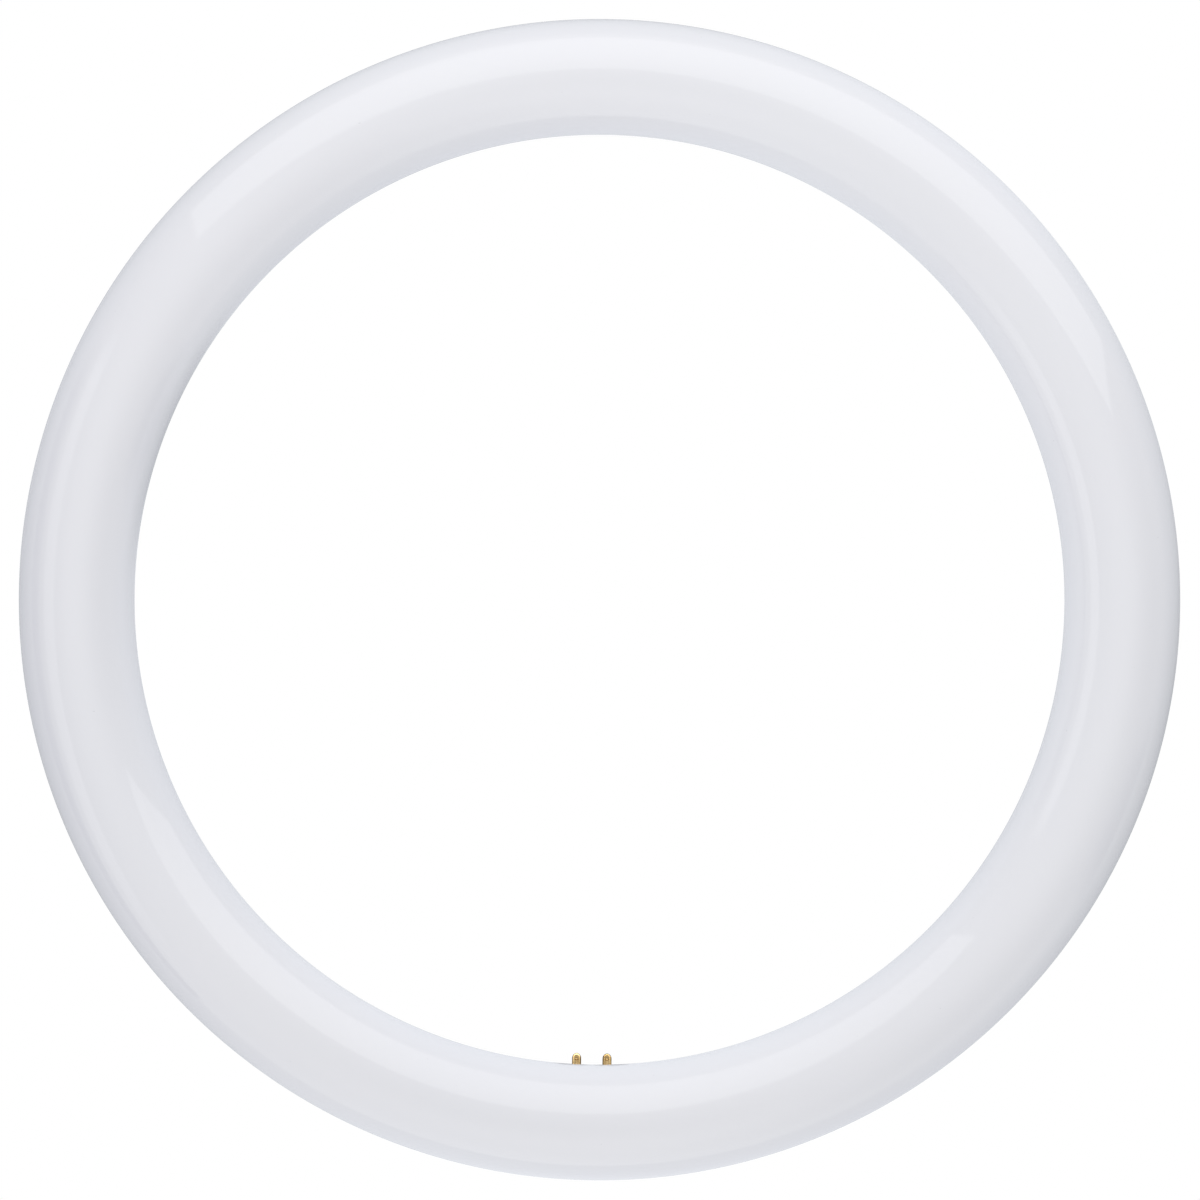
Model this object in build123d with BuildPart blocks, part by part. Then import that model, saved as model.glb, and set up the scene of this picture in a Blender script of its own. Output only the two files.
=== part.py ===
from build123d import *
import os
from math import acos, cos, degrees, radians, sin, sqrt

# Circular LED tube, T9 size, with a four-pin G10q base on the inner rear side.
# The ring lies flat: its axis is Z, the light side (opal diffuser) faces +Z and the base is at -Y.
# Z = 0 is the lowest plane of the lamp, touched by the tips of the rear row of pins.
# In the comments a section of the tube is described by q, the distance from the tube's centre
# line towards the ring's axis, and h, the height above the centre line.

os.makedirs("parts", exist_ok=True)

# ---- driving dimensions, mm ----
OUTER_D = 300.0            # ring, outside diameter
TUBE_D = 29.8              # tube, outside diameter
WALL = 1.3                 # both shells
SEAM_H = -3.1              # parting plane of the shells, behind the widest line of the tube

TONGUE_IN_R = 12.4         # locating tongue of the housing, inner and outer section radius
TONGUE_OUT_R = 13.5
TONGUE_TOP_H = -0.9
BEAD_AT_R, BEAD_AT_H, BEAD_R = 13.4, -1.9, 0.45     # snap bead on the tongue
GROOVE_R = 0.55                                      # groove for it in the diffuser
SHELF_IN_Q = 10.4          # shelf that carries the LED boards
SHELF_T = 1.2

LED_BOARD_Q = 11.6         # half the width of the ring board
LED_BOARD_H = -3.6         # underside
LED_BOARD_T = 1.0
LED_BOARD_GAP = 2.0        # between neighbouring quarter boards
FIRST_GAP_DEG = -18.0
LED_COUNT = 96
LED_RING_R = 136.0
LED_L, LED_W, LED_T = 3.5, 2.8, 0.7
CUP_L, CUP_W, CUP_DEEP = 2.9, 2.2, 0.35

BOARD_SCREW_Q = 6.6
BOARD_SCREW_DEG = (-10, 27, 64, 80, 117, 154, 170, 207, 244, 260, 338)
BOSS_R, BOSS_HOLE_R, BOSS_HOLE_H = 2.5, 1.0, -10.4
SCREW_HEAD_R, SCREW_HEAD_T, SCREW_LENGTH = 1.9, 1.3, 7.0

DRIVER_FROM, DRIVER_TO = 278.5, 333.5   # degrees round the ring
DRIVER_Q = 9.0             # half the width of the driver board
DRIVER_H = -6.4            # underside, where its components are
DRIVER_T = 1.2
DRIVER_SCREWS = ((283.6, 0.0), (329.2, 4.5))    # degrees, q

# base: u is measured from the tube's centre line along the pins, which point inwards and
# rearwards at 45 degrees
FACET_U = 12.9             # flat seat cut in the tube
FACET_HALF_X = 12.0
FACET_WALL = 1.5
INSERT_U = 13.4            # outer face of the pin carrier
INSERT_X, INSERT_Y = 16.8, 10.6
FLANGE_X, FLANGE_Y, FLANGE_T = 18.8, 12.6, 0.8
WINDOW_GAP = 0.1

PIN_R = 1.175              # 2.35 mm contact pins
PIN_ROOT_R = 1.35          # stretch held in the carrier
PIN_PITCH_X = 7.92         # along the ring
PIN_PITCH_Y = 6.35         # across the tube
PIN_TIP_U = 20.0
PIN_TIP_R = 0.6
PIN_NOSE = 1.25            # length of the rounded nose
PIN_BORE_R = 0.6
PIN_TIP_HOLE_R = 0.42
PIN_COLLAR_R, PIN_COLLAR_T = 1.9, 0.7
PIN_END_U = 10.2
DENT_FROM_TIP, DENT_BALL_R, DENT_DEEP = 2.26, 0.65, 0.38

LEAD_R = 0.7               # insulated leads of the pins
FEED_R = 0.6               # insulated leads to the LED boards
LEAD_CORE_R = 0.35         # bare ends that go through the driver board

# ---- derived ----
TUBE_R = TUBE_D / 2
RING_R = OUTER_D / 2 - TUBE_R
BORE_R = TUBE_R - WALL
S = sqrt(0.5)
NOSE_ARC_R = ((PIN_R - PIN_TIP_R) ** 2 + PIN_NOSE**2) / (2 * (PIN_R - PIN_TIP_R))
# height of the tube's centre line, so that the noses of the rear pins touch Z = 0
CENTRE_Z = S * (
    (PIN_TIP_U - PIN_NOSE) + PIN_PITCH_Y / 2 + (PIN_R - NOSE_ARC_R) + NOSE_ARC_R * sqrt(2)
)


def section(deg):
    """The plane of the tube's section at an angle round the ring: x outwards, y up."""
    a = radians(deg)
    return Plane(origin=(0, 0, 0), x_dir=(cos(a), sin(a), 0), z_dir=(sin(a), -cos(a), 0))


def spot(deg, q, h):
    """A point in the tube, from its angle round the ring, q and h."""
    a = radians(deg)
    return ((RING_R - q) * cos(a), (RING_R - q) * sin(a), CENTRE_Z + h)


def flat_at(deg, q, h, up=True):
    """A level plane in the tube: x outwards, z up or down."""
    a = radians(deg)
    return Plane(origin=spot(deg, q, h), x_dir=(cos(a), sin(a), 0), z_dir=(0, 0, 1 if up else -1))


def by_base(x, q, h):
    """A point close to the base, from x, q and h."""
    return (x, -RING_R + q, CENTRE_Z + h)


BASE = Plane(origin=(0, -RING_R, CENTRE_Z), x_dir=(1, 0, 0), z_dir=(0, S, -S))
FRONT = (0, S, S)          # across the base, towards the light side

# ---- diffuser: one opal moulding, the front of the tube all round ----
with BuildPart() as diffuser:
    with BuildSketch(Plane.XZ) as diffuser_section:
        with Locations((RING_R, CENTRE_Z)):
            Circle(TUBE_R)
            Circle(BORE_R, mode=Mode.SUBTRACT)
        with Locations((RING_R, CENTRE_Z + SEAM_H)):
            Rectangle(2 * TUBE_R + 2, TUBE_R, align=(Align.CENTER, Align.MAX), mode=Mode.SUBTRACT)
        # the outer corners of the seam are slightly rounded
        seam_corners = diffuser_section.vertices().group_by(Axis.Z)[0].sort_by(Axis.X)
        fillet([seam_corners[0], seam_corners[-1]], radius=0.25)
        for side in (-1, 1):
            with Locations((RING_R + side * sqrt(BEAD_AT_R**2 - BEAD_AT_H**2), CENTRE_Z + BEAD_AT_H)):
                Circle(GROOVE_R, mode=Mode.SUBTRACT)
    revolve(axis=Axis.Z)
diffuser.part.label = "diffuser"

# ---- what is moulded inside the rear housing ----
with BuildPart() as housing_bosses:
    # bosses of the LED boards and of the driver board, trimmed inside the thickness of the wall
    for deg in BOARD_SCREW_DEG:
        with BuildSketch(flat_at(deg, BOARD_SCREW_Q, LED_BOARD_H, up=False)):
            Circle(BOSS_R)
        extrude(amount=12)
    for deg, q in DRIVER_SCREWS:
        with BuildSketch(flat_at(deg, q, DRIVER_H, up=False)):
            Circle(BOSS_R)
        extrude(amount=9)
    # block behind the seat of the base
    with BuildSketch(BASE.offset(FACET_U - FACET_WALL)):
        with Locations((0, 0.5)):
            Rectangle(2 * (FACET_HALF_X + FACET_WALL), 15)
    extrude(amount=5)
    with Locations((0, 0, CENTRE_Z)):
        Torus(RING_R, TUBE_R - WALL / 2, mode=Mode.INTERSECT)

# ---- rear housing: one white moulding, the back of the tube all round ----
with BuildPart() as rear_housing:
    with BuildSketch(Plane.XZ) as housing_section:
        with Locations((RING_R, CENTRE_Z)):
            Circle(TUBE_R)
            Circle(BORE_R, mode=Mode.SUBTRACT)
        with Locations((RING_R, CENTRE_Z + SEAM_H)):
            Rectangle(2 * TUBE_R + 2, 2 * TUBE_R, align=(Align.CENTER, Align.MIN), mode=Mode.SUBTRACT)
        seam_corners = housing_section.vertices().group_by(Axis.Z)[-1].sort_by(Axis.X)
        fillet([seam_corners[0], seam_corners[-1]], radius=0.25)
    revolve(axis=Axis.Z)
    # tongue that the diffuser snaps over, with its bead
    with BuildSketch(Plane.XZ):
        with Locations((RING_R, CENTRE_Z)):
            Circle(TONGUE_OUT_R)
        for side in (-1, 1):
            with Locations((RING_R + side * sqrt(BEAD_AT_R**2 - BEAD_AT_H**2), CENTRE_Z + BEAD_AT_H)):
                Circle(BEAD_R)
        with Locations((RING_R, CENTRE_Z)):
            Circle(TONGUE_IN_R, mode=Mode.SUBTRACT)
        with Locations((RING_R, (TONGUE_TOP_H + SEAM_H - 1.7) / 2 + CENTRE_Z)):
            Rectangle(2 * TUBE_R, TONGUE_TOP_H - SEAM_H + 1.7, mode=Mode.INTERSECT)
    revolve(axis=Axis.Z)
    # root of the tongue and the shelf for the LED boards
    with BuildSketch(Plane.XZ):
        with Locations((RING_R, CENTRE_Z)):
            Circle(BORE_R + 0.2)
            Circle(TONGUE_IN_R, mode=Mode.SUBTRACT)
        with Locations((RING_R, CENTRE_Z + SEAM_H)):
            Rectangle(2 * TUBE_R, 1.7, align=(Align.CENTER, Align.MAX), mode=Mode.INTERSECT)
        for side in (-1, 1):
            with Locations((RING_R + side * (SHELF_IN_Q + 13.0) / 2, CENTRE_Z + LED_BOARD_H)):
                Rectangle(13.0 - SHELF_IN_Q, SHELF_T, align=(Align.CENTER, Align.MAX))
    revolve(axis=Axis.Z)
    add(housing_bosses.part)
    # flat seat of the base
    with BuildSketch(BASE.offset(FACET_U)):
        Rectangle(2 * FACET_HALF_X, 24)
    extrude(amount=6, mode=Mode.SUBTRACT)
    # stepped window for the pin carrier
    with BuildSketch(BASE.offset(FACET_U)):
        RectangleRounded(INSERT_X + 2 * WINDOW_GAP, INSERT_Y + 2 * WINDOW_GAP, 2.0 + WINDOW_GAP)
    extrude(amount=-4, mode=Mode.SUBTRACT)
    with BuildSketch(BASE.offset(FACET_U - FACET_WALL + FLANGE_T)):
        RectangleRounded(FLANGE_X + 2 * WINDOW_GAP, FLANGE_Y + 2 * WINDOW_GAP, 2.6 + WINDOW_GAP)
    extrude(amount=-3, mode=Mode.SUBTRACT)
    # screw holes of the bosses
    for deg in BOARD_SCREW_DEG:
        with BuildSketch(flat_at(deg, BOARD_SCREW_Q, LED_BOARD_H, up=False)):
            Circle(BOSS_HOLE_R)
        extrude(amount=LED_BOARD_H - BOSS_HOLE_H, mode=Mode.SUBTRACT)
    for deg, q in DRIVER_SCREWS:
        with BuildSketch(flat_at(deg, q, DRIVER_H, up=False)):
            Circle(BOSS_HOLE_R)
        extrude(amount=5.2, mode=Mode.SUBTRACT)
rear_housing.part.label = "rear_housing"

# ---- pin carrier: moulded plate, bonded in the window from inside ----
pin_places = {
    "pin_front_left": (-PIN_PITCH_X / 2, -PIN_PITCH_Y / 2),
    "pin_front_right": (PIN_PITCH_X / 2, -PIN_PITCH_Y / 2),
    "pin_rear_left": (-PIN_PITCH_X / 2, PIN_PITCH_Y / 2),
    "pin_rear_right": (PIN_PITCH_X / 2, PIN_PITCH_Y / 2),
}
with BuildPart() as base_insert:
    with BuildSketch(BASE.offset(FACET_U - FACET_WALL)):
        RectangleRounded(FLANGE_X, FLANGE_Y, 2.6)
    extrude(amount=FLANGE_T)
    with BuildSketch(BASE.offset(FACET_U - FACET_WALL + FLANGE_T)):
        RectangleRounded(INSERT_X, INSERT_Y, 2.0)
    extrude(amount=INSERT_U - FACET_U + FACET_WALL - FLANGE_T)
    outer_rim = base_insert.faces().sort_by(Axis(BASE.origin, BASE.z_dir))[-1].edges()
    fillet(outer_rim, radius=0.3)
    with BuildSketch(BASE.offset(FACET_U - FACET_WALL)):
        with Locations(*pin_places.values()):
            Circle(PIN_ROOT_R)
    extrude(amount=4, mode=Mode.SUBTRACT)
base_insert.part.label = "base_insert"

# ---- four hollow contact pins, each crimped on its lead by a dent ----
pins = {}
for name, (px, py) in pin_places.items():
    foot = BASE.from_local_coords(Vector(px, py, 0))
    with BuildPart() as pin:
        with BuildSketch(Plane(origin=foot, x_dir=(1, 0, 0), z_dir=FRONT)):
            with BuildLine():
                nose = RadiusArc(
                    (PIN_R, PIN_TIP_U - PIN_NOSE), (PIN_TIP_R, PIN_TIP_U), -NOSE_ARC_R
                )
                Polyline(
                    (PIN_TIP_R, PIN_TIP_U),
                    (PIN_TIP_HOLE_R, PIN_TIP_U),
                    (PIN_TIP_HOLE_R, PIN_TIP_U - 0.8),
                    (PIN_BORE_R, PIN_TIP_U - 1.1),
                    (PIN_BORE_R, PIN_END_U),
                    (PIN_ROOT_R, PIN_END_U),
                    (PIN_ROOT_R, FACET_U - FACET_WALL - PIN_COLLAR_T),
                    (PIN_COLLAR_R, FACET_U - FACET_WALL - PIN_COLLAR_T),
                    (PIN_COLLAR_R, FACET_U - FACET_WALL),
                    (PIN_ROOT_R, FACET_U - FACET_WALL),
                    (PIN_ROOT_R, INSERT_U),
                    (PIN_R, INSERT_U),
                    (PIN_R, PIN_TIP_U - PIN_NOSE),
                )
            make_face()
        revolve(axis=Axis(foot, BASE.z_dir))
        # the dent faces the light side on the front row and the back on the rear row
        side = -1 if py < 0 else 1
        punch = BASE.from_local_coords(
            Vector(px, py + side * (PIN_R + DENT_BALL_R - DENT_DEEP), PIN_TIP_U - DENT_FROM_TIP)
        )
        with Locations(punch):
            Sphere(DENT_BALL_R, mode=Mode.SUBTRACT)
    pin.part.label = name
    pins[name] = pin.part

# ---- leads of the pins: crimped in the bore, laid beside the base, soldered in the driver board ----
lead_pads = {
    "lead_front_right": (280.2, 5.6),
    "lead_front_left": (280.2, 1.9),
    "lead_rear_right": (280.2, -1.9),
    "lead_rear_left": (280.2, -5.6),
}


def lead_route(name):
    px, py = pin_places[name.replace("lead", "pin")]
    start = BASE.from_local_coords(Vector(px, py, PIN_END_U))
    out = BASE.from_local_coords(Vector(px, py, PIN_END_U - 1.9))
    deg, q = lead_pads[name]
    middle = {
        "lead_front_right": [by_base(12.0, 7.0, -6.6)],
        "lead_front_left": [by_base(3.9, 5.3, -5.4), by_base(12.4, 3.6, -7.2)],
        "lead_rear_right": [by_base(12.2, 0.9, -9.4)],
        "lead_rear_left": [by_base(3.8, -0.1, -7.1), by_base(12.6, -3.4, -8.0)],
    }[name]
    return [tuple(start), tuple(out), *middle, spot(deg, q, DRIVER_H - 2.5), spot(deg, q, DRIVER_H)]


leads = {}
for name in lead_pads:
    points = [Vector(p) for p in lead_route(name)]
    px, py = pin_places[name.replace("lead", "pin")]
    with BuildPart() as lead:
        with BuildLine() as route:
            FilletPolyline(*points, radius=[1.5] + [3.0] * (len(points) - 4) + [1.8])
        with BuildSketch(Plane(origin=route.line @ 0, z_dir=route.line % 0)):
            Circle(LEAD_R)
        sweep(path=route.line)
        # stranded core in the pin's bore
        with BuildSketch(Plane(origin=points[0], z_dir=BASE.z_dir)):
            Circle(PIN_BORE_R)
        extrude(amount=PIN_TIP_U - 1.1 - PIN_END_U)
        # core through the driver board
        with BuildSketch(Plane(origin=points[-1], z_dir=(0, 0, 1))):
            Circle(LEAD_CORE_R)
        extrude(amount=DRIVER_T + 0.4)
    lead.part.label = name
    leads[name] = lead.part
    print(name, "length", round(sum(e.length for e in route.line.edges()), 2))

# ---- quarter boards that carry the LEDs ----
led_boards = {}
gap_deg = degrees(LED_BOARD_GAP / RING_R)
for i in range(4):
    start = FIRST_GAP_DEG + 90 * i + gap_deg / 2
    with BuildPart() as board:
        with BuildSketch(section(start)):
            with Locations((RING_R, CENTRE_Z + LED_BOARD_H)):
                Rectangle(2 * LED_BOARD_Q, LED_BOARD_T, align=(Align.CENTER, Align.MIN))
        revolve(axis=Axis.Z, revolution_arc=90 - gap_deg)
        for deg in BOARD_SCREW_DEG:
            if start < (deg if deg < 342 else deg - 360) < start + 90:
                with BuildSketch(flat_at(deg, BOARD_SCREW_Q, LED_BOARD_H)):
                    Circle(BOSS_HOLE_R + 0.1)
                extrude(amount=LED_BOARD_T, mode=Mode.SUBTRACT)
        if i == 3:
            # notch beside the base, where the leads leave the pins
            with BuildSketch(Plane.XY.offset(CENTRE_Z + LED_BOARD_H)):
                with Locations((0, -RING_R + 4.4)):
                    Rectangle(27, 12, align=(Align.CENTER, Align.MIN))
            extrude(amount=LED_BOARD_T, mode=Mode.SUBTRACT)
    board.part.label = f"led_board_{i + 1}"
    led_boards[f"led_board_{i + 1}"] = board.part

# ---- LEDs: white bodies with a cup, and the phosphor fill of each cup ----
led_base = Plane.XY.offset(CENTRE_Z + LED_BOARD_H + LED_BOARD_T)
first_led = FIRST_GAP_DEG + 180 / LED_COUNT
with BuildPart() as led_packages:
    with BuildSketch(led_base):
        with PolarLocations(LED_RING_R, LED_COUNT, start_angle=first_led):
            Rectangle(LED_L, LED_W)
    extrude(amount=LED_T)
    with BuildSketch(led_base.offset(LED_T)):
        with PolarLocations(LED_RING_R, LED_COUNT, start_angle=first_led):
            RectangleRounded(CUP_L, CUP_W, 0.4)
    extrude(amount=-CUP_DEEP, mode=Mode.SUBTRACT)
led_packages.part.label = "led_packages"

with BuildPart() as led_phosphor:
    with BuildSketch(led_base.offset(LED_T - CUP_DEEP)):
        with PolarLocations(LED_RING_R, LED_COUNT, start_angle=first_led):
            RectangleRounded(CUP_L, CUP_W, 0.4)
    extrude(amount=CUP_DEEP - 0.05)
led_phosphor.part.label = "led_phosphor"

# ---- soldered bridges over the gaps between the boards ----
with BuildPart() as board_links:
    for deg in (FIRST_GAP_DEG + 90, FIRST_GAP_DEG + 180, FIRST_GAP_DEG + 270):
        for q in (4.0, -5.0):
            with BuildSketch(flat_at(deg, q, LED_BOARD_H + LED_BOARD_T)):
                Rectangle(2.0, 6.0)
            extrude(amount=0.5)
board_links.part.label = "board_links"


# ---- screws: pan heads with a cross recess ----
def screw_points(kind):
    if kind == "led":
        return [(deg, BOARD_SCREW_Q, LED_BOARD_H + LED_BOARD_T) for deg in BOARD_SCREW_DEG]
    return [(deg, q, DRIVER_H + DRIVER_T) for deg, q in DRIVER_SCREWS]


with BuildPart() as led_board_screws:
    for deg, q, h in screw_points("led"):
        seat = flat_at(deg, q, h)
        with BuildSketch(seat):
            Circle(SCREW_HEAD_R)
        extrude(amount=SCREW_HEAD_T, taper=8)
        with BuildSketch(seat.offset(SCREW_HEAD_T)):
            Rectangle(2.0, 0.45)
            Rectangle(0.45, 2.0)
        extrude(amount=-0.7, mode=Mode.SUBTRACT)
        with BuildSketch(seat):
            Circle(BOSS_HOLE_R)
        extrude(amount=-SCREW_LENGTH)
led_board_screws.part.label = "led_board_screws"

with BuildPart() as driver_board_screws:
    for deg, q, h in screw_points("driver"):
        seat = flat_at(deg, q, h)
        with BuildSketch(seat):
            Circle(SCREW_HEAD_R)
        extrude(amount=1.1, taper=8)
        with BuildSketch(seat.offset(1.1)):
            Rectangle(2.0, 0.45)
            Rectangle(0.45, 2.0)
        extrude(amount=-0.6, mode=Mode.SUBTRACT)
        with BuildSketch(seat):
            Circle(BOSS_HOLE_R)
        extrude(amount=-6.0)
driver_board_screws.part.label = "driver_board_screws"

# ---- insulating film under the LED board, over the driver ----
with BuildPart() as insulating_film:
    with BuildSketch(section(277.5)):
        with Locations((RING_R, CENTRE_Z + LED_BOARD_H)):
            Rectangle(19, 0.2, align=(Align.CENTER, Align.MAX))
    revolve(axis=Axis.Z, revolution_arc=57.0)
insulating_film.part.label = "insulating_film"

# ---- driver board ----
feed_pads = {"led_feed_positive": (331.8, -2.2), "led_feed_negative": (331.8, -6.2)}
with BuildPart() as driver_board:
    with BuildSketch(section(DRIVER_FROM)):
        with Locations((RING_R, CENTRE_Z + DRIVER_H)):
            Rectangle(2 * DRIVER_Q, DRIVER_T, align=(Align.CENTER, Align.MIN))
    revolve(axis=Axis.Z, revolution_arc=DRIVER_TO - DRIVER_FROM)
    for deg, q in DRIVER_SCREWS:
        with BuildSketch(flat_at(deg, q, DRIVER_H)):
            Circle(BOSS_HOLE_R + 0.1)
        extrude(amount=DRIVER_T, mode=Mode.SUBTRACT)
    for deg, q in (*lead_pads.values(), *feed_pads.values()):
        with BuildSketch(flat_at(deg, q, DRIVER_H)):
            Circle(LEAD_CORE_R)
        extrude(amount=DRIVER_T, mode=Mode.SUBTRACT)
driver_board.part.label = "driver_board"

# ---- leads from the driver up through the gap between two boards, on to the first LED board ----
feeds = {}
for name, (deg, q) in feed_pads.items():
    points = [
        Vector(spot(deg, q, DRIVER_H)),
        Vector(spot(deg, q, DRIVER_H - 2.5)),
        Vector(spot(360 + FIRST_GAP_DEG, q, DRIVER_H - 2.5)),
        Vector(spot(360 + FIRST_GAP_DEG, q, LED_BOARD_H + 4.6)),
        Vector(spot(345.75, q, LED_BOARD_H + 4.6)),
        Vector(spot(345.75, q, LED_BOARD_H + LED_BOARD_T)),
    ]
    with BuildPart() as feed:
        with BuildLine() as route:
            FilletPolyline(*points, radius=1.6)
        with BuildSketch(Plane(origin=route.line @ 0, z_dir=route.line % 0)):
            Circle(FEED_R)
        sweep(path=route.line)
        with BuildSketch(Plane(origin=points[0], z_dir=(0, 0, 1))):
            Circle(LEAD_CORE_R)
        extrude(amount=DRIVER_T + 0.4)
    feed.part.label = name
    feeds[name] = feed.part
    print(name, "length", round(sum(e.length for e in route.line.edges()), 2))

# ---- components of the driver, on the underside of its board ----
with BuildPart() as input_resistors:
    for deg, q in ((282.4, 5.0), (285.0, 5.0), (282.4, -5.0), (285.0, -5.0)):
        with BuildSketch(flat_at(deg, q, DRIVER_H, up=False)):
            Rectangle(1.6, 3.2)
        extrude(amount=0.6)
input_resistors.part.label = "input_resistors"


def lying(deg, q, h):
    """A level plane with x outwards and y along the tube, and the axis along the tube."""
    plane = flat_at(deg, q, h)
    return plane, Axis(plane.origin, plane.y_dir)


# fuse: a small axial body on two bent wires
fuse_plane, fuse_axis = lying(289.5, 4.6, DRIVER_H - 2.0)
with BuildPart() as fuse:
    with BuildSketch(fuse_plane):
        with BuildLine():
            Polyline((0, -3.6), (1.35, -3.6), (1.5, -3.2), (1.5, -2.0), (1.25, -1.5), (1.25, 1.5),
                     (1.5, 2.0), (1.5, 3.2), (1.35, 3.6), (0, 3.6), (0, -3.6))
        make_face()
    revolve(axis=fuse_axis)
    for side in (-1, 1):
        with BuildLine() as wire:
            FilletPolyline(
                fuse_plane.from_local_coords(Vector(0, side * 3.6, 0)),
                fuse_plane.from_local_coords(Vector(0, side * 5.0, 0)),
                fuse_plane.from_local_coords(Vector(0, side * 5.0, 2.0)),
                radius=0.8,
            )
        with BuildSketch(Plane(origin=wire.line @ 0, z_dir=wire.line % 0)):
            Circle(0.3)
        sweep(path=wire.line)
fuse.part.label = "fuse"

# varistor: a coated disc lying under the board
with BuildPart() as varistor:
    with BuildSketch(flat_at(289.5, -4.0, DRIVER_H, up=False)):
        Circle(3.5)
    extrude(amount=3.0)
    fillet(varistor.edges().filter_by(GeomType.CIRCLE).group_by(Axis.Z)[0], radius=1.0)
varistor.part.label = "varistor"

# bridge rectifier: moulded body with four bent legs
with BuildPart() as bridge_rectifier:
    with BuildSketch(flat_at(294.4, 4.6, DRIVER_H - 0.3, up=False)):
        Rectangle(3.8, 4.7)
    extrude(amount=2.3)
    chamfer(bridge_rectifier.edges().group_by(Axis.Z)[0], length=0.3)
    for side in (-1, 1):
        for along in (-1.25, 1.25):
            with BuildSketch(flat_at(294.4, 4.6, DRIVER_H, up=False)):
                with Locations((side * 2.45, along)):
                    Rectangle(1.1, 0.6)
            extrude(amount=0.3)
            with BuildSketch(flat_at(294.4, 4.6, DRIVER_H, up=False)):
                with Locations((side * 2.05, along)):
                    Rectangle(0.3, 0.6)
            extrude(amount=1.4)
bridge_rectifier.part.label = "bridge_rectifier"

# film capacitor: a box with rounded edges
with BuildPart() as film_capacitor:
    with BuildSketch(flat_at(294.8, -3.0, DRIVER_H, up=False)):
        Rectangle(5.0, 10.0)
    extrude(amount=5.8)
    fillet(film_capacitor.edges().group_by(Axis.Z)[0] + film_capacitor.edges().filter_by(Axis.Z), radius=0.5)
film_capacitor.part.label = "film_capacitor"

# input choke: a ferrite drum and its winding
choke_plane = Plane(origin=spot(299.7, 0, DRIVER_H), x_dir=section(299.7).x_dir, z_dir=section(299.7).z_dir)
choke_axis = Axis(choke_plane.origin, (0, 0, 1))
with BuildPart() as choke_core:
    with BuildSketch(choke_plane):
        with BuildLine():
            Polyline((0, 0), (3.2, 0), (3.2, -0.9), (1.4, -0.9), (1.4, -5.1), (3.2, -5.1), (3.2, -6.0),
                     (0, -6.0), (0, 0))
        make_face()
    revolve(axis=choke_axis)
choke_core.part.label = "choke_core"
with BuildPart() as choke_winding:
    with BuildSketch(choke_plane):
        with Locations((2.1, -3.0)):
            RectangleRounded(1.4, 4.2, 0.3)
    revolve(axis=choke_axis)
choke_winding.part.label = "choke_winding"


def can(name, deg, radius, length):
    """An electrolytic capacitor lying along the tube: a can with a rolled groove, and two wires."""
    plane, axis = lying(deg, 0, DRIVER_H - radius)
    with BuildPart() as capacitor:
        with BuildSketch(plane):
            with BuildLine():
                Polyline((0, -length / 2), (radius - 0.35, -length / 2), (radius, -length / 2 + 0.35),
                         (radius, -length / 2 + 1.2), (radius - 0.35, -length / 2 + 1.6),
                         (radius, -length / 2 + 2.0), (radius, length / 2 - 0.35),
                         (radius - 0.35, length / 2), (0, length / 2), (0, -length / 2))
            make_face()
        revolve(axis=axis)
        for side in (-1, 1):
            with BuildLine() as wire:
                FilletPolyline(
                    plane.from_local_coords(Vector(side * 1.2, -length / 2, 0)),
                    plane.from_local_coords(Vector(side * 1.2, -length / 2 - 1.3, 0)),
                    plane.from_local_coords(Vector(side * 1.2, -length / 2 - 1.3, radius)),
                    radius=0.8,
                )
            with BuildSketch(Plane(origin=wire.line @ 0, z_dir=wire.line % 0)):
                Circle(0.3)
            sweep(path=wire.line)
    capacitor.part.label = name
    return capacitor.part


input_capacitor = can("input_capacitor", 305.9, 3.15, 12.0)
output_capacitor = can("output_capacitor", 323.6, 3.15, 9.0)

# driver chip with eight bent legs
with BuildPart() as driver_chip:
    with BuildSketch(flat_at(311.4, 4.6, DRIVER_H - 0.1, up=False)):
        Rectangle(3.9, 4.9)
    extrude(amount=1.5)
    chamfer(driver_chip.edges().group_by(Axis.Z)[0], length=0.2)
    for side in (-1, 1):
        for along in (-1.905, -0.635, 0.635, 1.905):
            with BuildSketch(flat_at(311.4, 4.6, DRIVER_H, up=False)):
                with Locations((side * 2.5, along)):
                    Rectangle(1.1, 0.4)
            extrude(amount=0.25)
            with BuildSketch(flat_at(311.4, 4.6, DRIVER_H, up=False)):
                with Locations((side * 2.05, along)):
                    Rectangle(0.25, 0.4)
            extrude(amount=0.9)
driver_chip.part.label = "driver_chip"

# transformer: a ferrite core with two windows, and the wound bobbin on its middle leg
TRAFO_DEG = 317.0
with BuildPart() as transformer_core:
    with BuildSketch(flat_at(TRAFO_DEG, 0, DRIVER_H - 0.9, up=False)):
        Rectangle(9.6, 10.2)
        with Locations((-2.3, 0), (2.3, 0)):
            Rectangle(2.2, 7.0, mode=Mode.SUBTRACT)
    extrude(amount=4.6)
transformer_core.part.label = "transformer_core"
with BuildPart() as transformer_winding:
    with BuildSketch(flat_at(TRAFO_DEG, 0, DRIVER_H, up=False)):
        Rectangle(6.4, 6.6)
    extrude(amount=6.2)
    fillet(transformer_winding.edges().filter_by(Axis(BASE.origin, flat_at(TRAFO_DEG, 0, 0).y_dir)), radius=0.6)
    with BuildSketch(flat_at(TRAFO_DEG, 0, DRIVER_H - 0.9, up=False)):
        Rectangle(2.4, 6.6)
    extrude(amount=4.6, mode=Mode.SUBTRACT)
transformer_winding.part.label = "transformer_winding"

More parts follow.
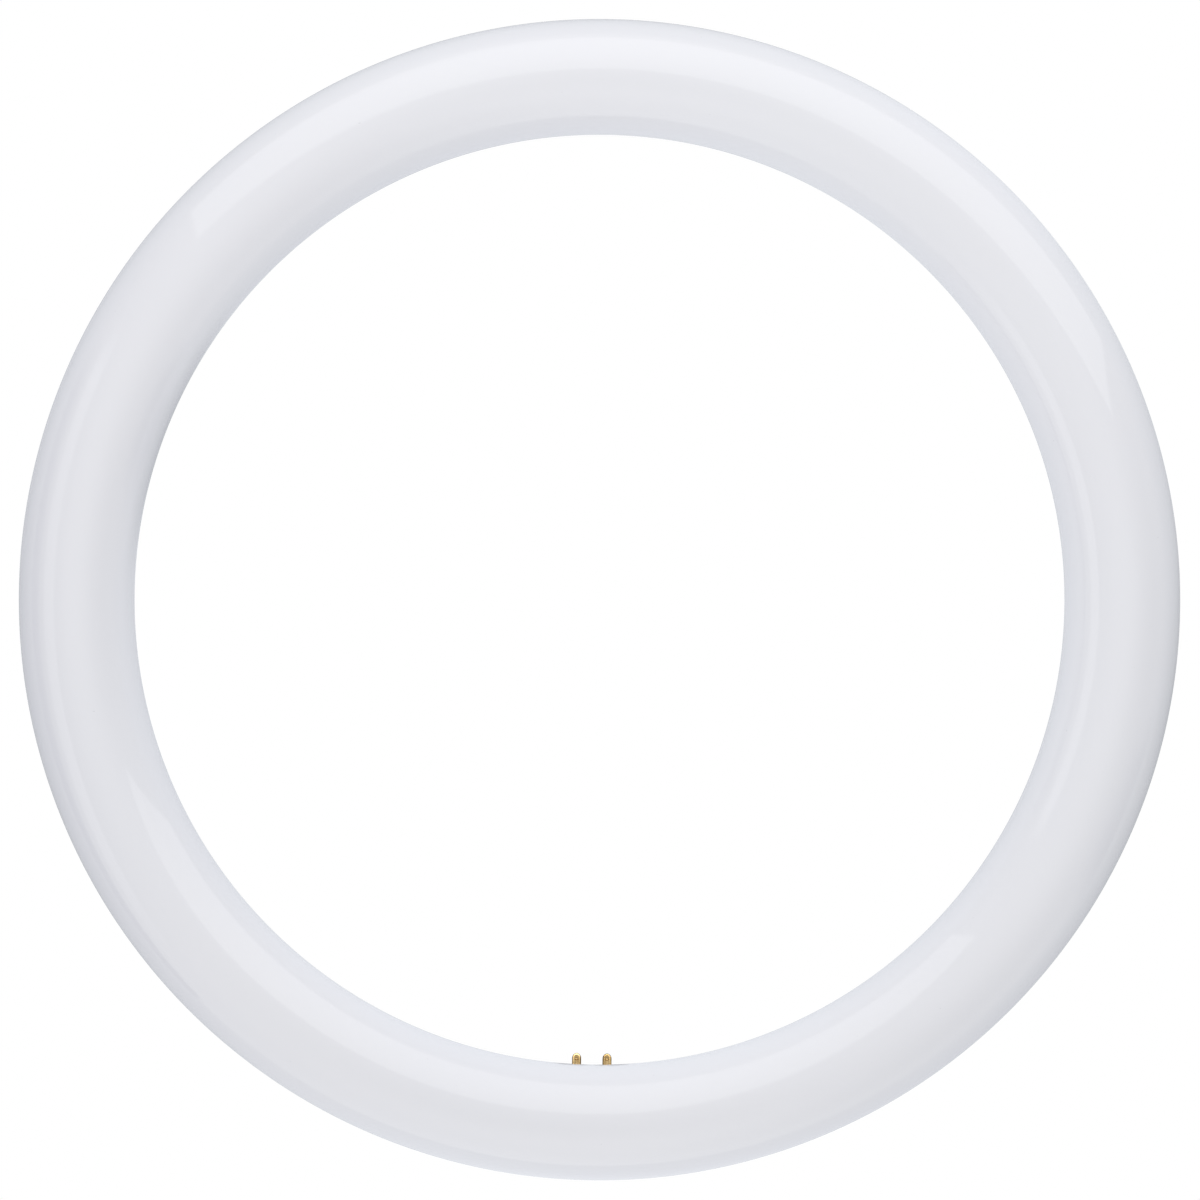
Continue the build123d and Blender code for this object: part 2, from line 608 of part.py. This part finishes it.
# ---- files ----
nodes = {
    "diffuser": diffuser.part,
    "rear_housing": rear_housing.part,
    "base_insert": base_insert.part,
    **pins,
    **leads,
    **led_boards,
    "led_packages": led_packages.part,
    "led_phosphor": led_phosphor.part,
    "board_links": board_links.part,
    "led_board_screws": led_board_screws.part,
    "driver_board_screws": driver_board_screws.part,
    "insulating_film": insulating_film.part,
    "driver_board": driver_board.part,
    **feeds,
    "input_resistors": input_resistors.part,
    "fuse": fuse.part,
    "varistor": varistor.part,
    "bridge_rectifier": bridge_rectifier.part,
    "film_capacitor": film_capacitor.part,
    "choke_core": choke_core.part,
    "choke_winding": choke_winding.part,
    "input_capacitor": input_capacitor,
    "output_capacitor": output_capacitor,
    "driver_chip": driver_chip.part,
    "transformer_core": transformer_core.part,
    "transformer_winding": transformer_winding.part,
}
for name, shape in nodes.items():
    export_step(shape, f"parts/{name}.step")
print("centre line at z", round(CENTRE_Z, 4), "nodes", len(nodes))
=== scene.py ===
from math import asin, atan, atan2, cos, degrees, pi, radians, sin, sqrt, tan

import bpy
import bmesh
from mathutils import Matrix, Vector


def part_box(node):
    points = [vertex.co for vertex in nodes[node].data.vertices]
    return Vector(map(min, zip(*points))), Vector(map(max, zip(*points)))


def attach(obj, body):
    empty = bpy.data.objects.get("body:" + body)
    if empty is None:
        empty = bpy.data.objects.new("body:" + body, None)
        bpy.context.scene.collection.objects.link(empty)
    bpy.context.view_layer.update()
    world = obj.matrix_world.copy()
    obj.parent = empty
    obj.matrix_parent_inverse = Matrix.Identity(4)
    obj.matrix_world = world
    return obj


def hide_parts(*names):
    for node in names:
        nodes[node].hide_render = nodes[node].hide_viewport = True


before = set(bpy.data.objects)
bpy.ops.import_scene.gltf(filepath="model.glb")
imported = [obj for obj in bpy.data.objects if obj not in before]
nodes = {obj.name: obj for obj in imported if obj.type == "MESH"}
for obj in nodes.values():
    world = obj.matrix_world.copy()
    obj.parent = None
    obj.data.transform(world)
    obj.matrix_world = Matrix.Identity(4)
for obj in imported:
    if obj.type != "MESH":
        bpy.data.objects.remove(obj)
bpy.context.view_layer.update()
scene = bpy.context.scene
scene.view_settings.view_transform = "Standard"

# Sizes in metres, as in the CAD model: ring axis Z, light side up, base at -Y.
MM = 0.001
TUBE_R = 14.9 * MM
RING_R = 135.1 * MM
CENTRE_Z = 0.5 * (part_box("diffuser")[1][2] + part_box("rear_housing")[0][2])
WALL = 1.3 * MM
SEAM_H = -3.1 * MM

# ------------------------------------------------------------------ camera
CAMERA_UP = 1.30           # from the tube's centre line
LENS = 150.9
ROLL = radians(0.96)
cam_data = bpy.data.cameras.new("camera")
cam_data.lens = LENS
cam_data.sensor_width = 36.0
cam_data.clip_start, cam_data.clip_end = 0.05, 60.0
camera = bpy.data.objects.new("camera", cam_data)
scene.collection.objects.link(camera)
camera.location = (0.00013, -0.00008, CENTRE_Z + CAMERA_UP)
camera.rotation_euler = (0.0, 0.0, ROLL)
scene.camera = camera


# ------------------------------------------------------------------ material helpers
def new_material(name):
    m = bpy.data.materials.new(name)
    m.use_nodes = True
    nt = m.node_tree
    nt.nodes.clear()
    out = nt.nodes.new("ShaderNodeOutputMaterial")
    bsdf = nt.nodes.new("ShaderNodeBsdfPrincipled")
    nt.links.new(bsdf.outputs["BSDF"], out.inputs["Surface"])
    return m, nt, bsdf


def node(nt, kind, **values):
    n = nt.nodes.new(kind)
    for key, value in values.items():
        if key in n.inputs:
            n.inputs[key].default_value = value
        else:
            setattr(n, key, value)
    return n


def place(nt, scale=1.0, stretch=(1.0, 1.0, 1.0)):
    """Object coordinates, stretched and scaled."""
    tc = node(nt, "ShaderNodeTexCoord")
    mp = node(nt, "ShaderNodeMapping")
    mp.inputs["Scale"].default_value = [scale * s for s in stretch]
    nt.links.new(tc.outputs["Object"], mp.inputs["Vector"])
    return mp.outputs["Vector"]


def noise(nt, vector, scale, detail=3.0, rough=0.5):
    n = node(nt, "ShaderNodeTexNoise", Scale=scale, Detail=detail, Roughness=rough)
    nt.links.new(vector, n.inputs["Vector"])
    return n.outputs["Fac"]


def ramp(nt, fac, stops):
    r = node(nt, "ShaderNodeValToRGB")
    els = r.color_ramp.elements
    while len(els) < len(stops):
        els.new(0.5)
    for e, (at, colour) in zip(els, stops):
        e.position = at
        e.color = (*colour, 1.0) if len(colour) == 3 else colour
    nt.links.new(fac, r.inputs["Fac"])
    return r.outputs["Color"]


def spread(nt, fac, low, high, a=0.3, b=0.7):
    """A factor between two values."""
    m = node(nt, "ShaderNodeMapRange")
    m.inputs["From Min"].default_value, m.inputs["From Max"].default_value = a, b
    m.inputs["To Min"].default_value, m.inputs["To Max"].default_value = low, high
    nt.links.new(fac, m.inputs["Value"])
    return m.outputs["Result"]


def bump(nt, bsdf, height, strength, distance):
    b = node(nt, "ShaderNodeBump", Strength=strength, Distance=distance)
    nt.links.new(height, b.inputs["Height"])
    nt.links.new(b.outputs["Normal"], bsdf.inputs["Normal"])
    return b


def assign(obj, material):
    obj.data.materials.clear()
    obj.data.materials.append(material)


# ------------------------------------------------------------------ the two shells
def opal_material():
    """Glossy opal polycarbonate: near-white and slightly cool, with faint shifts of tone, a very faint flow
    pattern along the ring and sparse specks in the surface."""
    m, nt, bsdf = new_material("opal_polycarbonate")
    v = place(nt)
    broad = noise(nt, v, 9.0, 2.0)
    fine = noise(nt, v, 260.0, 4.0, 0.6)
    tone = ramp(nt, broad, [(0.30, (0.830, 0.837, 0.880)), (0.50, (0.838, 0.842, 0.883)), (0.70, (0.840, 0.847, 0.886))])
    specks = noise(nt, v, 900.0, 1.0)
    dots = ramp(nt, specks, [(0.0, (0.90, 0.90, 0.90)), (0.165, (0.90, 0.90, 0.90)), (0.19, (1, 1, 1)), (1.0, (1, 1, 1))])
    mix = node(nt, "ShaderNodeMix", data_type="RGBA", blend_type="MULTIPLY")
    mix.inputs["Factor"].default_value = 1.0
    nt.links.new(tone, mix.inputs["A"])
    nt.links.new(dots, mix.inputs["B"])
    nt.links.new(mix.outputs["Result"], bsdf.inputs["Base Color"])
    nt.links.new(spread(nt, fine, 0.018, 0.038), bsdf.inputs["Roughness"])
    bsdf.inputs["IOR"].default_value = 1.58
    wave = noise(nt, v, 38.0, 2.0)
    bump(nt, bsdf, wave, 0.03, 0.0002)
    return m


def housing_material():
    """Glossy white polycarbonate of the rear shell, a little warmer and less even than the opal front."""
    m, nt, bsdf = new_material("white_polycarbonate")
    v = place(nt)
    broad = noise(nt, v, 7.0, 3.0)
    fine = noise(nt, v, 420.0, 3.0, 0.6)
    tone = ramp(nt, broad, [(0.30, (0.800, 0.800, 0.806)), (0.70, (0.826, 0.826, 0.828))])
    nt.links.new(tone, bsdf.inputs["Base Color"])
    nt.links.new(spread(nt, fine, 0.20, 0.27), bsdf.inputs["Roughness"])
    bsdf.inputs["IOR"].default_value = 1.58
    bump(nt, bsdf, fine, 0.06, 0.0003)
    return m


def arc(cx, cy, r, a0, a1, n):
    """n+1 points of an arc, angles in radians."""
    return [(cx + r * cos(a0 + (a1 - a0) * i / n), cy + r * sin(a0 + (a1 - a0) * i / n)) for i in range(n + 1)]


def revolved(name, outline, steps):
    """A closed ring from a closed section outline, given as (outwards, up) from the tube's centre."""
    bm = bmesh.new()
    rings = []
    for i in range(steps):
        a = 2 * pi * i / steps
        c, s = cos(a), sin(a)
        rings.append([bm.verts.new(((RING_R + x) * c, (RING_R + x) * s, CENTRE_Z + y)) for x, y in outline])
    n = len(outline)
    for i in range(steps):
        here, there = rings[i], rings[(i + 1) % steps]
        for j in range(n):
            k = (j + 1) % n
            bm.faces.new((here[j], there[j], there[k], here[k]))
    bmesh.ops.recalc_face_normals(bm, faces=bm.faces)
    for f in bm.faces:
        f.smooth = True
    for e in bm.edges:
        if len(e.link_faces) == 2 and e.calc_face_angle(0.0) > radians(32):
            e.smooth = False
    mesh = bpy.data.meshes.new(name)
    bm.to_mesh(mesh)
    bm.free()
    obj = bpy.data.objects.new(name, mesh)
    scene.collection.objects.link(obj)
    return obj


def diffuser_outline():
    r, b, h, f = TUBE_R - 0.015 * MM, TUBE_R - WALL, SEAM_H, 0.25 * MM
    fx, fy = sqrt((r - f) ** 2 - (h + f) ** 2), h + f
    lean = atan2(fy, fx)
    right = arc(fx, fy, f, -pi / 2, lean, 4)
    top = arc(0, 0, r, lean, pi - lean, 64)[1:-1]
    left = [(-x, y) for x, y in reversed(right)]
    # inside, with the groove of the snap bead at each edge
    gr, ga = 13.4 * MM, 0.55 * MM
    gx, gy = sqrt(gr**2 - (1.9 * MM) ** 2), -1.9 * MM
    turn = atan2(gy, gx)
    d = 2.174
    lower, upper = turn - radians(d), turn + radians(d)
    foot = asin(h / b)
    p0, p1 = (b * cos(lower), b * sin(lower)), (b * cos(upper), b * sin(upper))
    a0, a1 = atan2(p0[1] - gy, p0[0] - gx), atan2(p1[1] - gy, p1[0] - gx)
    groove = arc(gx, gy, ga, a0, a1, 6)
    inner_right = [(b * cos(foot), h)] + groove
    inner_left = [(-x, y) for x, y in inner_right]
    inside = arc(0, 0, b, pi - upper, upper, 28)[1:-1]
    return right + top + left + inner_left + inside + list(reversed(inner_right))


diffuser = revolved("diffuser_shell", diffuser_outline(), 640)
assign(diffuser, opal_material())
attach(diffuser, "root")
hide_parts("diffuser")

assign(nodes["rear_housing"], housing_material())


# ------------------------------------------------------------------ base and pins
def insert_material():
    m, nt, bsdf = new_material("insert_moulding")
    v = place(nt)
    grain = noise(nt, v, 1500.0, 3.0, 0.6)
    broad = noise(nt, v, 120.0, 2.0)
    nt.links.new(ramp(nt, broad, [(0.3, (0.74, 0.74, 0.72)), (0.7, (0.79, 0.79, 0.77))]), bsdf.inputs["Base Color"])
    nt.links.new(spread(nt, grain, 0.38, 0.52), bsdf.inputs["Roughness"])
    bump(nt, bsdf, grain, 0.25, 0.00008)
    return m


def brass_material():
    """Drawn brass: fine scratches, slight tarnish in patches."""
    m, nt, bsdf = new_material("drawn_brass")
    v = place(nt)
    patch = noise(nt, v, 700.0, 3.0, 0.55)
    tc = place(nt, 1.0, (1.0, 6.0, 6.0))
    scratch = noise(nt, tc, 2600.0, 2.0, 0.6)
    nt.links.new(
        ramp(nt, patch, [(0.30, (0.46, 0.30, 0.125)), (0.55, (0.64, 0.45, 0.21)), (0.75, (0.76, 0.56, 0.28))]),
        bsdf.inputs["Base Color"],
    )
    bsdf.inputs["Metallic"].default_value = 1.0
    bsdf.inputs["Specular Tint"].default_value = (0.22, 0.14, 0.08, 1.0)
    nt.links.new(spread(nt, patch, 0.21, 0.10), bsdf.inputs["Roughness"])
    bump(nt, bsdf, scratch, 0.12, 0.00003)
    return m


brass = brass_material()
for name in ("pin_front_left", "pin_front_right", "pin_rear_left", "pin_rear_right"):
    assign(nodes[name], brass)
assign(nodes["base_insert"], insert_material())


# ------------------------------------------------------------------ what is inside
def plain(name, dark, light, rough=(0.3, 0.45), metal=0.0, scale=400.0, stretch=(1.0, 1.0, 1.0), height=0.1, distance=0.00005):
    """A moulded, coated or metal surface with a fine grain and a slow shift of tone."""
    m, nt, bsdf = new_material(name)
    v = place(nt, 1.0, stretch)
    grain = noise(nt, v, scale, 3.0, 0.6)
    slow = noise(nt, v, scale * 0.15, 2.0)
    nt.links.new(ramp(nt, slow, [(0.3, dark), (0.7, light)]), bsdf.inputs["Base Color"])
    nt.links.new(spread(nt, grain, *rough), bsdf.inputs["Roughness"])
    bsdf.inputs["Metallic"].default_value = metal
    bump(nt, bsdf, grain, height, distance)
    return m


inner = {
    "led_board_1": "mask", "led_board_2": "mask", "led_board_3": "mask", "led_board_4": "mask",
    "led_packages": "led_body", "led_phosphor": "phosphor", "board_links": "tin",
    "led_board_screws": "zinc", "driver_board_screws": "zinc", "insulating_film": "film",
    "driver_board": "green", "input_resistors": "black_glaze", "fuse": "fuse", "varistor": "blue",
    "bridge_rectifier": "epoxy", "driver_chip": "epoxy", "film_capacitor": "yellow",
    "choke_core": "ferrite", "transformer_core": "ferrite", "choke_winding": "copper",
    "transformer_winding": "tape", "input_capacitor": "sleeve", "output_capacitor": "sleeve",
    "lead_front_left": "silicone", "lead_front_right": "silicone", "lead_rear_left": "silicone",
    "lead_rear_right": "silicone", "led_feed_positive": "red", "led_feed_negative": "black",
}
finishes = {
    "mask": plain("white_solder_mask", (0.80, 0.81, 0.79), (0.86, 0.87, 0.85), (0.25, 0.4)),
    "led_body": plain("led_body_moulding", (0.80, 0.80, 0.78), (0.88, 0.88, 0.86), (0.35, 0.5), scale=1800.0),
    "phosphor": plain("phosphor_fill", (0.78, 0.56, 0.06), (0.88, 0.68, 0.13), (0.3, 0.5), scale=3000.0),
    "tin": plain("tinned_copper", (0.62, 0.62, 0.60), (0.78, 0.78, 0.76), (0.22, 0.4), 1.0, 1500.0),
    "zinc": plain("zinc_plate", (0.52, 0.54, 0.56), (0.70, 0.71, 0.72), (0.25, 0.42), 1.0, 1800.0),
    "film": plain("polyimide_film", (0.50, 0.25, 0.03), (0.60, 0.32, 0.05), (0.12, 0.22)),
    "green": plain("green_solder_mask", (0.03, 0.17, 0.06), (0.05, 0.24, 0.09), (0.22, 0.38)),
    "black_glaze": plain("resistor_glaze", (0.02, 0.02, 0.02), (0.05, 0.05, 0.05), (0.15, 0.3), scale=2500.0),
    "fuse": plain("fuse_coating", (0.20, 0.30, 0.16), (0.28, 0.40, 0.22), (0.3, 0.5), scale=2500.0),
    "blue": plain("varistor_dip", (0.02, 0.10, 0.34), (0.04, 0.16, 0.45), (0.18, 0.3), scale=900.0),
    "epoxy": plain("moulded_epoxy", (0.015, 0.015, 0.016), (0.035, 0.035, 0.036), (0.4, 0.6), scale=3500.0),
    "yellow": plain("capacitor_box", (0.62, 0.45, 0.05), (0.74, 0.56, 0.09), (0.35, 0.5), scale=2500.0),
    "ferrite": plain("sintered_ferrite", (0.035, 0.035, 0.037), (0.07, 0.07, 0.072), (0.45, 0.65), scale=3000.0),
    "copper": plain("enamelled_copper", (0.42, 0.13, 0.05), (0.58, 0.22, 0.08), (0.2, 0.35), 1.0, 800.0, (1, 1, 9)),
    "tape": plain("winding_tape", (0.70, 0.50, 0.05), (0.82, 0.62, 0.10), (0.2, 0.35), scale=700.0),
    "sleeve": plain("capacitor_sleeve", (0.012, 0.025, 0.06), (0.03, 0.05, 0.10), (0.18, 0.3), scale=900.0),
    "silicone": plain("lead_silicone", (0.70, 0.69, 0.66), (0.80, 0.79, 0.76), (0.4, 0.55), scale=1500.0),
    "red": plain("red_insulation", (0.42, 0.02, 0.015), (0.55, 0.035, 0.025), (0.3, 0.42), scale=1500.0),
    "black": plain("black_insulation", (0.014, 0.014, 0.014), (0.03, 0.03, 0.03), (0.3, 0.42), scale=1500.0),
}
for name, finish in inner.items():
    assign(nodes[name], finishes[finish])

# ------------------------------------------------------------------ floor
# The lamp rests on the tips of its rear pins and on the far side of the ring, so the floor leans by 0.42 degrees.
PIN_TIP_Y = -123.75 * MM
LEAN = (CENTRE_Z - TUBE_R) / (RING_R - PIN_TIP_Y)
mesh = bpy.data.meshes.new("floor")
F = 6.0
mesh.from_pydata([(x, y, LEAN * (y - PIN_TIP_Y)) for x, y in ((-F, -F), (F, -F), (F, F), (-F, F))], [], [(0, 1, 2, 3)])
floor = bpy.data.objects.new("floor", mesh)
scene.collection.objects.link(floor)

# How bright the floor, the low surroundings and the high surroundings are to the lamp, every 45 degrees from -X
# anticlockwise seen from above: W, SW, S, SE, E, NE, N, NW in the picture.
FLOOR_AROUND = [0.70, 0.63, 0.88, 0.73, 0.50, 0.77, 0.53, 0.60]
FLOOR_INSIDE = 0.77
# each shade on the floor: its centre, where it starts to fade, where it ends, and how deep it is
SHADES = [
    (-0.0050, -0.1174, 0.0026, 0.0058, 0.60), (0.0050, -0.1174, 0.0026, 0.0058, 0.60),
    (-0.0921, 0.0335, 0.012, 0.038, 0.45), (-0.220, -0.060, 0.05, 0.16, 0.22), (0.190, -0.080, 0.03, 0.12, 0.28),
]
LOW_AROUND = [0.56, 1.10, 1.51, 1.00, 0.54, 0.80, 0.80, 0.49]
MID_AROUND = [0.34, 0.91, 1.41, 0.50, 0.14, 0.89, 0.91, 0.52]
OVERHEAD = 0.605
TINT = (1.0, 1.0, 1.0)
FLOOR_TINT = (0.965, 1.0, 1.05)


def maths(nt, op, a, b=None):
    n = node(nt, "ShaderNodeMath", operation=op)
    for i, v in enumerate((a, b)):
        if v is None:
            continue
        if isinstance(v, (int, float)):
            n.inputs[i].default_value = v
        else:
            nt.links.new(v, n.inputs[i])
    return n.outputs["Value"]


def smooth(nt, value, a, b):
    m = node(nt, "ShaderNodeMapRange", interpolation_type="SMOOTHSTEP")
    m.inputs["From Min"].default_value, m.inputs["From Max"].default_value = a, b
    nt.links.new(value, m.inputs["Value"])
    return m.outputs["Result"]


def tinted(v, tint):
    return (v * tint[0], v * tint[1], v * tint[2], 1.0)


def blend(nt, fac, a, b, tint=TINT):
    m = node(nt, "ShaderNodeMix", data_type="RGBA")
    nt.links.new(fac, m.inputs["Factor"])
    for socket, v in (("A", a), ("B", b)):
        if isinstance(v, (int, float)):
            m.inputs[socket].default_value = tinted(v, tint)
        else:
            nt.links.new(v, m.inputs[socket])
    return m.outputs["Result"]


def around(nt, x, y, values, name, tint=TINT):
    """A value that changes smoothly with the direction in the floor plane."""
    turn = maths(nt, "DIVIDE", maths(nt, "ADD", maths(nt, "ARCTAN2", y, x), pi), 2 * pi)
    r = node(nt, "ShaderNodeValToRGB")
    r.name = name
    r.color_ramp.interpolation = "EASE"
    els = r.color_ramp.elements
    while len(els) < 9:
        els.new(0.5)
    for k, e in enumerate(els):
        e.position = k / 8
        e.color = tinted(values[k % 8], tint)
    nt.links.new(turn, r.inputs["Fac"])
    return r.outputs["Color"]


m = bpy.data.materials.new("white_ground")
m.use_nodes = True
nt = m.node_tree
nt.nodes.clear()
out = nt.nodes.new("ShaderNodeOutputMaterial")
# what the camera sees of the floor: white, with a painted contact shadow that greys it where the lamp comes within 6
# mm
seen = node(nt, "ShaderNodeEmission", Strength=1.0)
painted_shadow_ao = node(nt, "ShaderNodeAmbientOcclusion", Distance=0.006)
painted_shadow_ao.samples = 8
nt.links.new(ramp(nt, painted_shadow_ao.outputs["AO"], [(0.0, (0.55, 0.56, 0.58)), (0.85, (1.0, 1.0, 1.0))]), seen.inputs["Color"])
geo = node(nt, "ShaderNodeNewGeometry")
xyz = node(nt, "ShaderNodeSeparateXYZ")
nt.links.new(geo.outputs["Position"], xyz.inputs["Vector"])
x, y = xyz.outputs["X"], xyz.outputs["Y"]
dist = maths(nt, "SQRT", maths(nt, "ADD", maths(nt, "MULTIPLY", x, x), maths(nt, "MULTIPLY", y, y)))
given = node(nt, "ShaderNodeEmission", Strength=1.0)
glow = blend(nt, smooth(nt, dist, 0.10, 0.17), FLOOR_INSIDE, around(nt, x, y, FLOOR_AROUND, "floor_around", FLOOR_TINT), FLOOR_TINT)
nt.links.new(glow, given.inputs["Color"])
# shade on the floor: under each pin, inside the ring on the left, and outside it on the left and on the right
shade = 1.0
for cx, cy, r0, r1, depth in SHADES:
    px, py = maths(nt, "SUBTRACT", x, cx), maths(nt, "SUBTRACT", y, cy)
    near = maths(nt, "SQRT", maths(nt, "ADD", maths(nt, "MULTIPLY", px, px), maths(nt, "MULTIPLY", py, py)))
    one = maths(nt, "ADD", maths(nt, "MULTIPLY", smooth(nt, near, r0, r1), depth), 1.0 - depth)
    shade = maths(nt, "MULTIPLY", one, shade)
nt.links.new(shade, given.inputs["Strength"])
path = node(nt, "ShaderNodeLightPath")
both = node(nt, "ShaderNodeMixShader")
nt.links.new(path.outputs["Is Camera Ray"], both.inputs["Fac"])
nt.links.new(given.outputs["Emission"], both.inputs[1])
nt.links.new(seen.outputs["Emission"], both.inputs[2])
nt.links.new(both.outputs["Shader"], out.inputs["Surface"])
assign(floor, m)
m.cycles.emission_sampling = "NONE"


# ------------------------------------------------------------------ light
def card(name, lower, upper, strength, soft, flag=None):
    """A light card between a lower and an upper edge, each a row of points from left to right, in metres. It lights
    the object and shows in its gloss; the camera doesn't see it. soft is how much of its left, right, lower and upper
    side fades out, as a share of its size. With flag, a colour, it is a dark screen that shuts light out instead."""
    n = 24

    def along(row, u):
        f = u * (len(row) - 1)
        k = min(int(f), len(row) - 2)
        return Vector(row[k]).lerp(Vector(row[k + 1]), f - k)

    verts, uvs = [], []
    for j in range(n + 1):
        for i in range(n + 1):
            u, v = i / n, j / n
            verts.append(along(lower, u).lerp(along(upper, u), v))
            uvs.append((u, v))
    w = n + 1
    faces = [(j * w + i, j * w + i + 1, (j + 1) * w + i + 1, (j + 1) * w + i) for j in range(n) for i in range(n)]
    mesh = bpy.data.meshes.new(name)
    mesh.from_pydata(verts, [], faces)
    layer = mesh.uv_layers.new(name="across")
    for loop in mesh.loops:
        layer.data[loop.index].uv = uvs[loop.vertex_index]
    obj = bpy.data.objects.new(name, mesh)
    scene.collection.objects.link(obj)
    m = bpy.data.materials.new(name)
    m.use_nodes = True
    nt = m.node_tree
    nt.nodes.clear()
    out = nt.nodes.new("ShaderNodeOutputMaterial")
    tc = node(nt, "ShaderNodeTexCoord")
    sep = node(nt, "ShaderNodeSeparateXYZ")
    nt.links.new(tc.outputs["UV"], sep.inputs["Vector"])
    u, v = sep.outputs["X"], sep.outputs["Y"]
    left, right, low, high = soft
    fade = maths(nt, "MULTIPLY", smooth(nt, u, 0.0, max(left, 0.001)), smooth(nt, maths(nt, "SUBTRACT", 1.0, u), 0.0, max(right, 0.001)))
    fade = maths(nt, "MULTIPLY", fade, smooth(nt, v, 0.0, max(low, 0.001)))
    fade = maths(nt, "MULTIPLY", fade, smooth(nt, maths(nt, "SUBTRACT", 1.0, v), 0.0, max(high, 0.001)))
    e = node(nt, "ShaderNodeEmission", Strength=1.0)
    e.name = "light"
    clear = node(nt, "ShaderNodeBsdfTransparent")
    if flag is None:
        e.inputs["Color"].default_value = (*TINT, 1.0)
        nt.links.new(maths(nt, "MULTIPLY", fade, strength), e.inputs["Strength"])
        both = node(nt, "ShaderNodeAddShader")
        nt.links.new(e.outputs["Emission"], both.inputs[0])
        nt.links.new(clear.outputs["BSDF"], both.inputs[1])
    else:
        e.inputs["Color"].default_value = (*flag, 1.0)
        m.cycles.emission_sampling = "NONE"
        both = node(nt, "ShaderNodeMixShader")
        nt.links.new(maths(nt, "MULTIPLY", fade, strength), both.inputs["Fac"])
        nt.links.new(clear.outputs["BSDF"], both.inputs[1])
        nt.links.new(e.outputs["Emission"], both.inputs[2])
    nt.links.new(both.outputs["Shader"], out.inputs["Surface"])
    obj.data.materials.append(m)
    obj.visible_camera = False
    obj.visible_shadow = flag is not None
    return obj


SOFTBOX = 0.755
STRIP = 0.68
PIN_CARD = 7.0
cards = {
    # tall softbox above the lamp in the picture, leaning over it
    "softbox": (
        [(-0.66, 0.60, 0.11), (-0.22, 0.52, 0.085), (0.28, 0.52, 0.07), (1.12, 0.60, 0.05)],
        [(-0.425, 0.36, 0.76), (-0.02, 0.35, 1.24), (0.40, 0.35, 1.44), (0.98, 0.36, 1.16)],
        SOFTBOX, (0.01, 0.015, 0.03, 0.035),
    ),
    # strip light to the left
    "strip": (
        [(-0.70, -0.75, 0.25), (-0.70, -0.17, 0.26), (-0.70, 0.40, 0.28)],
        [(-0.68, -0.75, 0.54), (-0.68, -0.17, 0.64), (-0.68, 0.40, 0.70)],
        STRIP, (0.42, 0.10, 0.20, 0.035),
    ),
}
for name, (lower, upper, strength, soft) in cards.items():
    card(name, lower, upper, strength, soft)
# small cards that lie in front of the pins, each lighting only its own
for side, cx in (("left", -0.00396), ("right", 0.00396)):
    pin_card = card("pin_card_" + side, [(cx - 0.0160, -0.1128, 0.0004), (cx + 0.0160, -0.1128, 0.0004)],
                    [(cx - 0.0165, -0.1028, 0.0005), (cx + 0.0165, -0.1028, 0.0005)], PIN_CARD, (0.20, 0.20, 0.15, 0.35))
    lit = bpy.data.collections.new("pins_" + side)
    lit.objects.link(nodes["pin_front_" + side])
    lit.objects.link(nodes["pin_rear_" + side])
    pin_card.light_linking.receiver_collection = lit
# dark screens low on the left and on the right, and a small one inside the ring
card("flag_inside", [(-0.0763, 0.0397, 0.0085), (-0.0850, 0.0140, 0.0085)], [(-0.0763, 0.0397, 0.0280), (-0.0850, 0.0140, 0.0280)], 0.58,
     (0.40, 0.40, 0.001, 0.45), (0.04, 0.05, 0.14))
card("flag_left", [(-0.30, -0.31, 0.012), (-0.30, 0.155, 0.012)], [(-0.30, -0.315, 0.062), (-0.30, 0.16, 0.076)], 0.85,
     (0.02, 0.12, 0.001, 0.06), (0.05, 0.05, 0.14))
card("flag_right", [(0.90, -0.11, 0.012), (0.72, -0.52, 0.012)], [(0.88, -0.20, 0.60), (0.77, -0.42, 0.60)], 0.97,
     (0.36, 0.36, 0.001, 0.50), (0.02, 0.03, 0.08))

world = bpy.data.worlds.new("studio")
scene.world = world
world.use_nodes = True
nt = world.node_tree
nt.nodes.clear()
out = nt.nodes.new("ShaderNodeOutputWorld")
sky_seen = node(nt, "ShaderNodeBackground", Strength=1.0)
sky_seen.inputs["Color"].default_value = (1, 1, 1, 1)
sky = node(nt, "ShaderNodeBackground", Strength=1.0)
tc = node(nt, "ShaderNodeTexCoord")
xyz = node(nt, "ShaderNodeSeparateXYZ")
nt.links.new(tc.outputs["Generated"], xyz.inputs["Vector"])
x, y, z = xyz.outputs
low = around(nt, x, y, LOW_AROUND, "low_around")
mid = around(nt, x, y, MID_AROUND, "mid_around")
height = maths(nt, "ARCSINE", z)
lower = blend(nt, smooth(nt, height, radians(5), radians(35)), low, mid)
nt.links.new(blend(nt, smooth(nt, height, radians(45), radians(85)), lower, OVERHEAD), sky.inputs["Color"])
path = node(nt, "ShaderNodeLightPath")
both = node(nt, "ShaderNodeMixShader")
nt.links.new(path.outputs["Is Camera Ray"], both.inputs["Fac"])
nt.links.new(sky.outputs["Background"], both.inputs[1])
nt.links.new(sky_seen.outputs["Background"], both.inputs[2])
nt.links.new(both.outputs["Shader"], out.inputs["Surface"])
